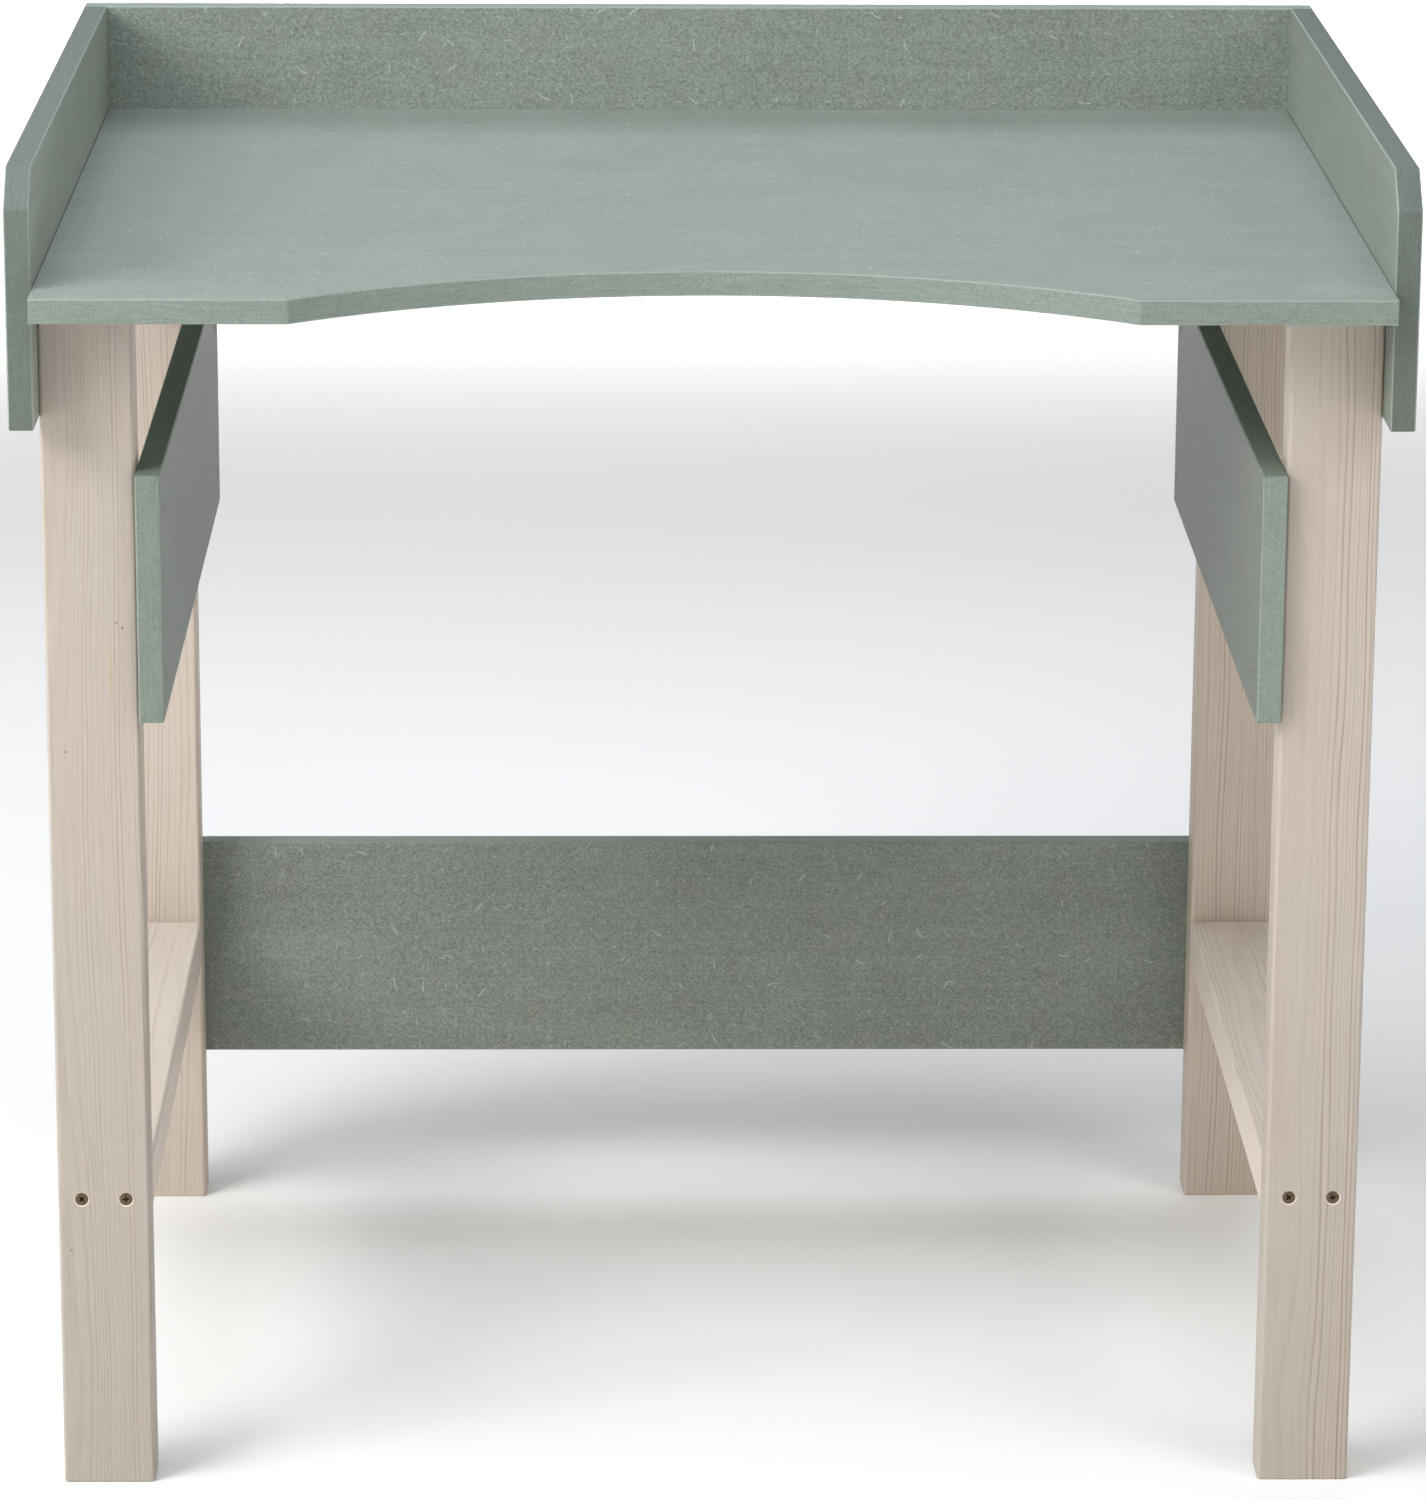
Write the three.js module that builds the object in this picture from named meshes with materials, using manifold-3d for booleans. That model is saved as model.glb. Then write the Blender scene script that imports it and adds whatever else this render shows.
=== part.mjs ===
// Potting bench: an MDF worktop with a curved cut-out, boxed in by three upstand panels, on four pine
// legs. Each side pair of legs is tied by an MDF apron and a pine lower rail, and an MDF stretcher joins
// the rear legs. Every board and post is a separate piece, held by countersunk screws in real holes.
//
// Millimetres. X runs left to right, Y front to back, Z up. The origin is on the floor, under the middle
// of the bench. Left and right are as seen from the front.

import * as THREE from 'three';
import { mergeVertices } from 'three/addons/utils/BufferGeometryUtils.js';
import Module from 'manifold-3d';

const wasm = await Module();
wasm.setup();

// Boards
const BOARD = 18;
const BOARD_ARRIS = 1.5;
const WORKTOP_WIDTH = 940;
const WORKTOP_HEIGHT = 900;
const WORKTOP_END_GAP = 0.5;
const WORKTOP_FRONT_OVERHANG = 30;
const CUT_OUT_HALF_WIDTH = 292;
const CUT_OUT_DEPTH = 95;
const CUT_OUT_STEPS = 28;
const PANEL_LENGTH = 690;
const PANEL_HEIGHT = 182;
const PANEL_CHAMFER = 26;
const UPSTAND = 82;
const APRON_LENGTH = 650;
const APRON_HEIGHT = 180;
const APRON_BOTTOM = 581;
const STRETCHER_HEIGHT = 180;
const STRETCHER_BOTTOM = 115;

// Pine posts and rails
const POST_WIDTH = 66;
const POST_DEPTH = 36;
const POST_ROUND = 3;
const POST_ARRIS = 1.5;
const POST_ROUND_STEPS = 3;
const LEG_FRONT_SETBACK = 40;
const LEG_FRAME_DEPTH = 630;
const RAIL_BOTTOM = 202;

// Countersunk wood screws
const SCREW_HEAD_RADIUS = 4.85;
const SCREW_SHANK_RADIUS = 2.3;
const SCREW_SINK = 0.5;
const SCREW_TIP = 4;
const SCREW_SIDES = 10;
const RECESS_SPAN = 5;
const RECESS_SLOT = 1.2;
const RECESS_DEPTH = 1.8;
const HOLE_CLEARANCE = 0.3;
const HOLE_MOUTH = 1;
const SCREW_SHORT = 45;
const SCREW_MEDIUM = 50;
const SCREW_LONG = 80;

// Where the screws sit
const RAIL_SCREW_OFFSET = 16;
const APRON_SCREW_INSET = 30;
const PANEL_LEG_SCREW_HEIGHTS = [825, 860];
const PANEL_WORKTOP_SCREW_PITCH = 230;
const BACK_WORKTOP_SCREW_PITCH = 300;
const BACK_PANEL_SCREW_INSET = 30;
const STRETCHER_SCREW_INSET = 30;

// Levels and positions that follow from the dimensions above
const WORKTOP_UNDERSIDE = WORKTOP_HEIGHT - BOARD;
const PANEL_TOP = WORKTOP_HEIGHT + UPSTAND;
const PANEL_BOTTOM = PANEL_TOP - PANEL_HEIGHT;
const HALF_DEPTH = (WORKTOP_FRONT_OVERHANG + PANEL_LENGTH + BOARD) / 2;
const WORKTOP_FRONT = -HALF_DEPTH;
const PANEL_FRONT = WORKTOP_FRONT + WORKTOP_FRONT_OVERHANG;
const PANEL_REAR = PANEL_FRONT + PANEL_LENGTH;
const PANEL_INSIDE = WORKTOP_WIDTH / 2;
const PANEL_OUTSIDE = PANEL_INSIDE + BOARD;
const FRAME_FRONT = PANEL_FRONT + LEG_FRONT_SETBACK;
const FRAME_REAR = FRAME_FRONT + LEG_FRAME_DEPTH;
const LEG_INSIDE = PANEL_INSIDE - POST_WIDTH;
const LEG_CENTRE = PANEL_INSIDE - POST_WIDTH / 2;
const FRONT_LEG_CENTRE = FRAME_FRONT + POST_DEPTH / 2;
const REAR_LEG_CENTRE = FRAME_REAR - POST_DEPTH / 2;
const FRAME_CENTRE = (FRAME_FRONT + FRAME_REAR) / 2;
const RAIL_CENTRE = RAIL_BOTTOM + POST_DEPTH / 2;
const WORKTOP_CENTRE = WORKTOP_HEIGHT - BOARD / 2;

const SIDES = [['left', -1], ['right', 1]];
const ROWS = [['front', FRONT_LEG_CENTRE, -1], ['rear', REAR_LEG_CENTRE, 1]];

const X_AXIS = new THREE.Vector3(1, 0, 0);
const Y_AXIS = new THREE.Vector3(0, 1, 0);
const Z_AXIS = new THREE.Vector3(0, 0, 1);

// The outline's own x and y, and its thickness, are turned onto these row axes.
const LYING = new THREE.Matrix4();
const FACING_SIDE = new THREE.Matrix4().makeBasis(Y_AXIS, Z_AXIS, X_AXIS);
const FACING_FRONT = new THREE.Matrix4().makeBasis(X_AXIS, Z_AXIS, Y_AXIS.clone().negate());

const MATERIALS = {
  mdf: new THREE.MeshStandardMaterial({ color: 0x8c9a8c, roughness: 0.75, metalness: 0 }),
  pine: new THREE.MeshStandardMaterial({ color: 0xc9bcac, roughness: 0.7, metalness: 0 }),
  screw: new THREE.MeshStandardMaterial({ color: 0x7a6a4c, roughness: 0.4, metalness: 0.8 }),
};

function toSolid(geometry) {
  const bare = geometry.clone();
  bare.deleteAttribute('normal');
  bare.deleteAttribute('uv');
  const merged = mergeVertices(bare);
  const vertProperties = new Float32Array(merged.attributes.position.array);
  const triVerts = new Uint32Array(merged.index.array);
  return new wasm.Manifold(new wasm.Mesh({ numProp: 3, vertProperties, triVerts }));
}

function toGeometry(solid) {
  const { vertProperties, triVerts } = solid.getMesh();
  const geometry = new THREE.BufferGeometry();
  geometry.setAttribute('position', new THREE.BufferAttribute(vertProperties, 3));
  geometry.setIndex(new THREE.BufferAttribute(triVerts, 1));
  geometry.computeVertexNormals();
  return geometry;
}

function rectangle(width, height) {
  const shape = new THREE.Shape();
  shape.moveTo(-width / 2, -height / 2);
  shape.lineTo(width / 2, -height / 2);
  shape.lineTo(width / 2, height / 2);
  shape.lineTo(-width / 2, height / 2);
  shape.closePath();
  return shape;
}

function roundedRectangle(width, height, radius) {
  const x = width / 2 - radius;
  const y = height / 2 - radius;
  const quarter = Math.PI / 2;
  const shape = new THREE.Shape();
  shape.absarc(x, -y, radius, -quarter, 0);
  shape.absarc(x, y, radius, 0, quarter);
  shape.absarc(-x, y, radius, quarter, 2 * quarter);
  shape.absarc(-x, -y, radius, 2 * quarter, 3 * quarter);
  shape.closePath();
  return shape;
}

// A bar of the outline's section, centred on the origin, with its two end faces' edges chamfered.
// Steps is the number of flats on each rounded corner or arc of the outline.
function extruded(shape, thickness, arris, steps = 1) {
  const geometry = new THREE.ExtrudeGeometry(shape, {
    depth: thickness - 2 * arris,
    bevelThickness: arris,
    bevelSize: arris,
    bevelOffset: -arris,
    bevelSegments: 1,
    curveSegments: steps,
  });
  return geometry.translate(0, 0, arris - thickness / 2);
}

// A screw along -Y: its own body, or with a clearance the hole that it sits in. Height 0 is the face
// of the board that it is driven into.
function screwProfile(length, clearance) {
  const headTop = -SCREW_SINK;
  const headHeight = SCREW_HEAD_RADIUS - SCREW_SHANK_RADIUS;
  const tip = headTop - length;
  const shank = SCREW_SHANK_RADIUS + clearance;
  const points = [
    new THREE.Vector2(0, tip - clearance),
    new THREE.Vector2(shank, tip + SCREW_TIP),
    new THREE.Vector2(shank, headTop - headHeight),
  ];
  if (clearance > 0) {
    const mouth = SCREW_HEAD_RADIUS + clearance + SCREW_SINK;
    points.push(new THREE.Vector2(mouth, 0), new THREE.Vector2(mouth, HOLE_MOUTH));
    points.push(new THREE.Vector2(0, HOLE_MOUTH));
  } else {
    points.push(new THREE.Vector2(SCREW_HEAD_RADIUS, headTop), new THREE.Vector2(0, headTop));
  }
  return points;
}

function screwBody(length) {
  let solid = toSolid(new THREE.LatheGeometry(screwProfile(length, 0), SCREW_SIDES));
  for (const turn of [0, Math.PI / 2]) {
    const slot = new THREE.BoxGeometry(RECESS_SPAN, 2 * RECESS_DEPTH, RECESS_SLOT);
    solid = solid.subtract(toSolid(slot.rotateY(turn).translate(0, -SCREW_SINK, 0)));
  }
  return toGeometry(solid);
}

const SCREW_BODIES = new Map();
for (const length of [SCREW_SHORT, SCREW_MEDIUM, SCREW_LONG]) {
  SCREW_BODIES.set(length, screwBody(length));
}

// Screws: where each head lies, which way its head faces, and the pieces that it passes through.

const screws = [];

function addScrew(name, length, head, outward, pieces) {
  const turn = new THREE.Quaternion().setFromUnitVectors(Y_AXIS, outward);
  const profile = screwProfile(length, HOLE_CLEARANCE);
  const hole = new THREE.LatheGeometry(profile, SCREW_SIDES).applyQuaternion(turn);
  hole.translate(head.x, head.y, head.z);
  screws.push({ name, length, head, turn, pieces, hole: toSolid(hole) });
}

function planRailScrews() {
  for (const [side, across] of SIDES) {
    for (const [row, y, facing] of ROWS) {
      for (const [place, offset] of [['inner', -RAIL_SCREW_OFFSET], ['outer', RAIL_SCREW_OFFSET]]) {
        const x = across * (LEG_CENTRE + offset);
        const head = new THREE.Vector3(x, y + (facing * POST_DEPTH) / 2, RAIL_CENTRE);
        const outward = Y_AXIS.clone().multiplyScalar(facing);
        const name = `rail_screw_${row}_${side}_${place}`;
        addScrew(name, SCREW_LONG, head, outward, [`${row}_${side}_leg`, `${side}_lower_rail`]);
      }
    }
  }
}

function planApronScrews() {
  const levels = [
    ['lower', APRON_BOTTOM + APRON_SCREW_INSET],
    ['upper', APRON_BOTTOM + APRON_HEIGHT - APRON_SCREW_INSET],
  ];
  for (const [side, across] of SIDES) {
    const inward = X_AXIS.clone().multiplyScalar(-across);
    for (const [row, y] of ROWS) {
      for (const [level, z] of levels) {
        const head = new THREE.Vector3(across * (LEG_INSIDE - BOARD), y, z);
        const name = `apron_screw_${row}_${side}_${level}`;
        addScrew(name, SCREW_SHORT, head, inward, [`${side}_apron`, `${row}_${side}_leg`]);
      }
    }
  }
}

function planSidePanelScrews() {
  for (const [side, across] of SIDES) {
    const outward = X_AXIS.clone().multiplyScalar(across);
    const panel = `${side}_side_panel`;
    for (const [row, y] of ROWS) {
      PANEL_LEG_SCREW_HEIGHTS.forEach((z, index) => {
        const head = new THREE.Vector3(across * PANEL_OUTSIDE, y, z);
        const name = `panel_screw_${row}_${side}_${index + 1}`;
        addScrew(name, SCREW_SHORT, head, outward, [panel, `${row}_${side}_leg`]);
      });
    }
    [-1, 0, 1].forEach((step, index) => {
      const y = FRAME_CENTRE + step * PANEL_WORKTOP_SCREW_PITCH;
      const head = new THREE.Vector3(across * PANEL_OUTSIDE, y, WORKTOP_CENTRE);
      addScrew(`worktop_screw_${side}_${index + 1}`, SCREW_MEDIUM, head, outward, [panel, 'worktop']);
    });
  }
}

function planBackPanelScrews() {
  const rear = PANEL_REAR + BOARD;
  const levels = [PANEL_BOTTOM + BACK_PANEL_SCREW_INSET, PANEL_TOP - BACK_PANEL_SCREW_INSET];
  [-1, 0, 1].forEach((step, index) => {
    const head = new THREE.Vector3(step * BACK_WORKTOP_SCREW_PITCH, rear, WORKTOP_CENTRE);
    addScrew(`worktop_screw_back_${index + 1}`, SCREW_MEDIUM, head, Y_AXIS, ['back_panel', 'worktop']);
  });
  for (const [side, across] of SIDES) {
    levels.forEach((z, index) => {
      const head = new THREE.Vector3(across * (PANEL_INSIDE + BOARD / 2), rear, z);
      const pieces = ['back_panel', `${side}_side_panel`];
      addScrew(`back_panel_screw_${side}_${index + 1}`, SCREW_MEDIUM, head, Y_AXIS, pieces);
    });
  }
}

function planStretcherScrews() {
  const levels = [
    STRETCHER_BOTTOM + STRETCHER_SCREW_INSET,
    STRETCHER_BOTTOM + STRETCHER_HEIGHT - STRETCHER_SCREW_INSET,
  ];
  for (const [side, across] of SIDES) {
    levels.forEach((z, index) => {
      const head = new THREE.Vector3(across * LEG_CENTRE, FRAME_REAR + BOARD, z);
      const pieces = ['rear_stretcher', `rear_${side}_leg`];
      addScrew(`stretcher_screw_${side}_${index + 1}`, SCREW_SHORT, head, Y_AXIS, pieces);
    });
  }
}

planRailScrews();
planApronScrews();
planSidePanelScrews();
planBackPanelScrews();
planStretcherScrews();

// Boards and posts

const bench = new THREE.Group();

// Puts one piece in the bench: the bar is turned onto its axes, centred on its place, and drilled.
function addPiece(name, material, bar, axes, centre) {
  const turned = bar.applyMatrix4(axes);
  let solid = toSolid(turned.translate(centre.x, centre.y, centre.z));
  for (const screw of screws.filter(({ pieces }) => pieces.includes(name))) {
    solid = solid.subtract(screw.hole);
  }
  const geometry = toGeometry(solid).translate(-centre.x, -centre.y, -centre.z);
  const mesh = new THREE.Mesh(geometry, material);
  mesh.name = name;
  mesh.position.copy(centre);
  bench.add(mesh);
}

function worktopOutline() {
  const radius = (CUT_OUT_HALF_WIDTH ** 2 + CUT_OUT_DEPTH ** 2) / (2 * CUT_OUT_DEPTH);
  const half = PANEL_INSIDE - WORKTOP_END_GAP;
  const reach = Math.asin(CUT_OUT_HALF_WIDTH / radius);
  const front = (WORKTOP_FRONT - PANEL_REAR) / 2;
  const shape = new THREE.Shape();
  shape.moveTo(half, front);
  shape.lineTo(half, -front);
  shape.lineTo(-half, -front);
  shape.lineTo(-half, front);
  const middle = Math.PI / 2;
  shape.absarc(0, front + CUT_OUT_DEPTH - radius, radius, middle + reach, middle - reach, true);
  shape.closePath();
  return shape;
}

function addWorktop() {
  const centre = new THREE.Vector3(0, (WORKTOP_FRONT + PANEL_REAR) / 2, WORKTOP_CENTRE);
  const bar = extruded(worktopOutline(), BOARD, BOARD_ARRIS, CUT_OUT_STEPS);
  addPiece('worktop', MATERIALS.mdf, bar, LYING, centre);
}

function sidePanelOutline() {
  const y = PANEL_LENGTH / 2;
  const z = PANEL_HEIGHT / 2;
  const shape = new THREE.Shape();
  shape.moveTo(-y, -z);
  shape.lineTo(y, -z);
  shape.lineTo(y, z);
  shape.lineTo(-y + PANEL_CHAMFER, z);
  shape.lineTo(-y, z - PANEL_CHAMFER);
  shape.closePath();
  return shape;
}

function addUpstandPanels() {
  const level = PANEL_TOP - PANEL_HEIGHT / 2;
  const middle = (PANEL_FRONT + PANEL_REAR) / 2;
  for (const [side, across] of SIDES) {
    const centre = new THREE.Vector3(across * (PANEL_INSIDE + BOARD / 2), middle, level);
    const bar = extruded(sidePanelOutline(), BOARD, BOARD_ARRIS);
    addPiece(`${side}_side_panel`, MATERIALS.mdf, bar, FACING_SIDE, centre);
  }
  const back = extruded(rectangle(2 * PANEL_OUTSIDE, PANEL_HEIGHT), BOARD, BOARD_ARRIS);
  const backCentre = new THREE.Vector3(0, PANEL_REAR + BOARD / 2, level);
  addPiece('back_panel', MATERIALS.mdf, back, FACING_FRONT, backCentre);
}

function addAprons() {
  for (const [side, across] of SIDES) {
    const bar = extruded(rectangle(APRON_LENGTH, APRON_HEIGHT), BOARD, BOARD_ARRIS);
    const x = across * (LEG_INSIDE - BOARD / 2);
    const centre = new THREE.Vector3(x, FRAME_CENTRE, APRON_BOTTOM + APRON_HEIGHT / 2);
    addPiece(`${side}_apron`, MATERIALS.mdf, bar, FACING_SIDE, centre);
  }
}

function addStretcher() {
  const bar = extruded(rectangle(WORKTOP_WIDTH, STRETCHER_HEIGHT), BOARD, BOARD_ARRIS);
  const centre = new THREE.Vector3(0, FRAME_REAR + BOARD / 2, STRETCHER_BOTTOM + STRETCHER_HEIGHT / 2);
  addPiece('rear_stretcher', MATERIALS.mdf, bar, FACING_FRONT, centre);
}

function post(length) {
  const section = roundedRectangle(POST_WIDTH, POST_DEPTH, POST_ROUND);
  return extruded(section, length, POST_ARRIS, POST_ROUND_STEPS);
}

function addLegs() {
  for (const [side, across] of SIDES) {
    for (const [row, y] of ROWS) {
      const centre = new THREE.Vector3(across * LEG_CENTRE, y, WORKTOP_UNDERSIDE / 2);
      addPiece(`${row}_${side}_leg`, MATERIALS.pine, post(WORKTOP_UNDERSIDE), LYING, centre);
    }
  }
}

function addLowerRails() {
  const length = LEG_FRAME_DEPTH - 2 * POST_DEPTH;
  for (const [side, across] of SIDES) {
    const centre = new THREE.Vector3(across * LEG_CENTRE, FRAME_CENTRE, RAIL_CENTRE);
    addPiece(`${side}_lower_rail`, MATERIALS.pine, post(length), FACING_FRONT, centre);
  }
}

function addScrews() {
  for (const { name, length, head, turn } of screws) {
    const mesh = new THREE.Mesh(SCREW_BODIES.get(length), MATERIALS.screw);
    mesh.name = name;
    mesh.position.copy(head);
    mesh.quaternion.copy(turn);
    bench.add(mesh);
  }
}

addWorktop();
addUpstandPanels();
addAprons();
addStretcher();
addLegs();
addLowerRails();
addScrews();

export default bench;
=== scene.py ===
import math
import random

import bmesh
import bpy
from mathutils import Matrix, Vector


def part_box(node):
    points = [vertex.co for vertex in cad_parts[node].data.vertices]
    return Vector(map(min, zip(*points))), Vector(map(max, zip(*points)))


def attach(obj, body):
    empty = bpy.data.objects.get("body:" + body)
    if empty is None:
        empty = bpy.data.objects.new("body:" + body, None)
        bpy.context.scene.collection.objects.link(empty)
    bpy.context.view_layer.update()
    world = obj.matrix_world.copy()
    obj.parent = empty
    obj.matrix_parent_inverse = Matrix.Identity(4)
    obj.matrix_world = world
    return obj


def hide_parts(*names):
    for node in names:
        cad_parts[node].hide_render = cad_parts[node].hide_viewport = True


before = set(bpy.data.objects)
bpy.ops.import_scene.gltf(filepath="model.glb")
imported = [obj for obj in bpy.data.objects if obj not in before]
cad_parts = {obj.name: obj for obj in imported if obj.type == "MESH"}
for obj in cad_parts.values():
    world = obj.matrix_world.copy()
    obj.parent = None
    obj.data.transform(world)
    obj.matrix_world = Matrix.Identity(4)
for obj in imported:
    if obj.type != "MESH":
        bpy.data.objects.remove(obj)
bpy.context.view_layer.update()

# Lengths are metres in the scene and millimetres in the materials' own coordinates.
MM = 0.001
TO_MM = 1000.0

# Boards
BOARD_ROUND = 1.6 * MM
BOARD_ROUND_STEPS = 4
CRISP = 0.3
SHARP_ANGLE = math.radians(25)
WOOD_SMOOTH_DEGREES = 35
CHAMFER = 26 * MM
CUT_OUT_HALF_WIDTH = 292 * MM
CUT_OUT_DEPTH = 95 * MM
CUT_OUT_STEPS = 96

# Pine posts
POST_ROUND = 3 * MM
POST_ROUND_STEPS = 6
POST_END_ROUND = 1.2 * MM
POST_END_STEPS = 3

# Screws
HEAD_RADIUS = 4.85 * MM
HEAD_EDGE = 0.25 * MM
HEAD_BREAK = 0.1 * MM
THREAD_RADIUS = 2.45 * MM
CORE_RADIUS = 1.75 * MM
NECK_RADIUS = CORE_RADIUS * 1.15
NECK_LENGTH = 5 * MM
NECK_START = 0.5 * MM
NECK_END = 0.6 * MM
POINT_LENGTH = 6 * MM
POINT_RADIUS = 0.15 * MM
THREAD_PITCH = 3 * MM
THREAD_ROWS = 4
THREAD_WIDTH = 0.28
SCREW_SIDES = 24
SCREW_SMOOTH_DEGREES = 40
RECESS_TOP = (5.0 * MM, 1.25 * MM)
RECESS_FLOOR = (1.9 * MM, 0.8 * MM)
RECESS_DEPTH = 2.1 * MM
HOLE_RADIUS = 2.6 * MM
HOLE_TIP = 0.2 * HOLE_RADIUS
HOLE_END = 1 * MM
HOLE_MOUTH = 5.65 * MM
HOLE_SIDES = 40
HOLE_CLEAR = 1 * MM
HEAD_TOLERANCE = 0.1 * MM
BOX_TOLERANCE = 1 * MM
FACE_TOLERANCE = 0.05 * MM

# How far each cross recess that faces the front is turned, in degrees.
RECESS_TURNS = {
    "rail_screw_front_left_outer": 45,
    "rail_screw_front_left_inner": 4,
    "rail_screw_front_right_inner": 37,
    "rail_screw_front_right_outer": 12,
}
# The other recesses are turned by chance.
RECESS_TURN_SEED = 11

# Camera
CAMERA_PLACE = (-0.0752, -4.4753, 1.7847)
CAMERA_YAW = 1.022
CAMERA_PITCH = -15.10
CAMERA_ROLL = 0.279
CAMERA_LENS = 147.2
CAMERA_SENSOR = 36.0
CAMERA_SHIFT = (0.0018, -0.09)
CAMERA_REACH = 100.0

# How far apart the pieces' own coordinates are kept, in millimetres, so that no two have one pattern.
BOARD_SPACING = 2300.0
POST_SPACING = 3100.0

BOARDS = [
    "worktop",
    "back_panel",
    "left_side_panel",
    "right_side_panel",
    "left_apron",
    "right_apron",
    "rear_stretcher",
]
POSTS = [
    "front_left_leg",
    "front_right_leg",
    "rear_left_leg",
    "rear_right_leg",
    "left_lower_rail",
    "right_lower_rail",
]
SCREWS = sorted(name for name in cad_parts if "_screw_" in name)
WOOD_BOXES = {name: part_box(name) for name in BOARDS + POSTS}


# ---------------------------------------------------------------- node graphs


class Graph:
    """A material's nodes, added one at a time. A value is a number, a colour or another node's output."""

    # The colour mix node has sockets for other kinds of value too, so these give the numbers of its own.
    MIX_AMOUNT = 0
    MIX_FIRST = 6
    MIX_SECOND = 7
    MIX_RESULT = 2

    def __init__(self, name):
        self.material = bpy.data.materials.new(name)
        self.material.use_nodes = True
        self.tree = self.material.node_tree
        self.shader = self.tree.nodes["Principled BSDF"]

    def feed(self, socket, value):
        if isinstance(value, bpy.types.NodeSocket):
            self.tree.links.new(value, socket)
        else:
            socket.default_value = value

    def add(self, kind, settings=None, **inputs):
        node = self.tree.nodes.new(kind)
        for key, value in (settings or {}).items():
            setattr(node, key, value)
        for key, value in inputs.items():
            self.feed(node.inputs[key.replace("_", " ")], value)
        return node

    def math(self, operation, first, second=0.0, third=0.0):
        node = self.tree.nodes.new("ShaderNodeMath")
        node.operation = operation
        for socket, value in zip(node.inputs, (first, second, third)):
            self.feed(socket, value)
        return node.outputs[0]

    def vector(self, operation, first, second=(0.0, 0.0, 0.0)):
        node = self.tree.nodes.new("ShaderNodeVectorMath")
        node.operation = operation
        self.feed(node.inputs[0], first)
        self.feed(node.inputs[1], second)
        return node.outputs["Value" if operation in ("LENGTH", "DOT_PRODUCT") else "Vector"]

    def split(self, vector):
        return self.add("ShaderNodeSeparateXYZ", Vector=vector).outputs

    def join(self, x, y, z):
        return self.add("ShaderNodeCombineXYZ", X=x, Y=y, Z=z).outputs[0]

    def attribute(self, name):
        return self.add("ShaderNodeAttribute", {"attribute_name": name}).outputs["Vector"]

    def total(self, base, *parts):
        """A number plus some others, each times its share."""
        for value, share in parts:
            base = self.math("MULTIPLY_ADD", value, share, base)
        return base

    def product(self, first, *others):
        for other in others:
            first = self.math("MULTIPLY", first, other)
        return first

    def noise(self, vector, fineness, detail=2.0, roughness=0.5):
        """A noise from 0 to 1. Its fineness is one number, or one for each axis."""
        if isinstance(fineness, tuple):
            vector = self.vector("MULTIPLY", vector, fineness)
            fineness = 1.0
        inputs = {"Vector": vector, "Scale": fineness, "Detail": detail, "Roughness": roughness}
        return self.add("ShaderNodeTexNoise", **inputs).outputs["Fac"]

    def swing(self, *noise):
        """A noise that lies on both sides of 0."""
        return self.math("SUBTRACT", self.noise(*noise), 0.5)

    def random(self, vector):
        return self.add("ShaderNodeTexWhiteNoise", {"noise_dimensions": "3D"}, Vector=vector).outputs

    def range(self, value, low, high, to_low=0.0, to_high=1.0):
        """A smooth step from one number to another as the value goes from low to high."""
        node = self.tree.nodes.new("ShaderNodeMapRange")
        node.interpolation_type = "SMOOTHSTEP"
        for socket, item in zip(node.inputs, (value, low, high, to_low, to_high)):
            self.feed(socket, item)
        return node.outputs[0]

    def mix(self, amount, first, second, blend="MIX"):
        node = self.tree.nodes.new("ShaderNodeMix")
        node.data_type = "RGBA"
        node.blend_type = blend
        self.feed(node.inputs[self.MIX_AMOUNT], amount)
        self.feed(node.inputs[self.MIX_FIRST], first)
        self.feed(node.inputs[self.MIX_SECOND], second)
        return node.outputs[self.MIX_RESULT]

    def grey(self, value):
        return self.join(value, value, value)

    def scaled(self, colour, factor):
        """The colour times a number that varies over the surface."""
        return self.mix(1.0, colour, self.grey(factor), "MULTIPLY")

    def bump(self, height, distance):
        return self.add("ShaderNodeBump", Distance=distance, Height=height).outputs[0]

    def finish(self, colour, roughness, normal=None, **constants):
        self.feed(self.shader.inputs["Base Color"], colour)
        self.feed(self.shader.inputs["Roughness"], roughness)
        if normal is not None:
            self.feed(self.shader.inputs["Normal"], normal)
        for key, value in constants.items():
            self.shader.inputs[key.replace("_", " ")].default_value = value
        return self.material


# ---------------------------------------------------------------- materials

# A range gives the low and high end of what comes in, then what goes out at each, or 0 and 1 if left out.
# A noise gives how fine it is per millimetre, one number or one for each axis, then detail and roughness.

FIBREBOARD_FACE = (0.206, 0.239, 0.206, 1.0)
FIBREBOARD_FACE_WARM = (0.211, 0.231, 0.197, 1.0)
FIBREBOARD_EDGE = (0.216, 0.260, 0.222, 1.0)
# The arris colour is a painted highlight.
FIBREBOARD_ARRIS_HIGHLIGHT = (0.265, 0.312, 0.270, 1.0)
FIBREBOARD_SPECK = (0.10, 0.115, 0.095, 1.0)
FIBREBOARD_ROUGHNESS = 0.55
FIBREBOARD_RELIEF = 0.06 * MM
GRIT = (0.62, 3.0, 0.72)
CLUMP = (0.16, 2.0, 0.55)
CLOUD = (0.012, 2.0, 0.5)
SANDING = ((0.006, 0.13, 0.05), 3.0, 0.6)
SHEETS = ((0.035, 0.035, 0.8), 3.0, 0.65)
WARMTH = (0.035, 2.0)
WARMTH_OFFSET = (900.0, 300.0, 0.0)
WARMTH_RANGE = (0.35, 0.75)
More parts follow.
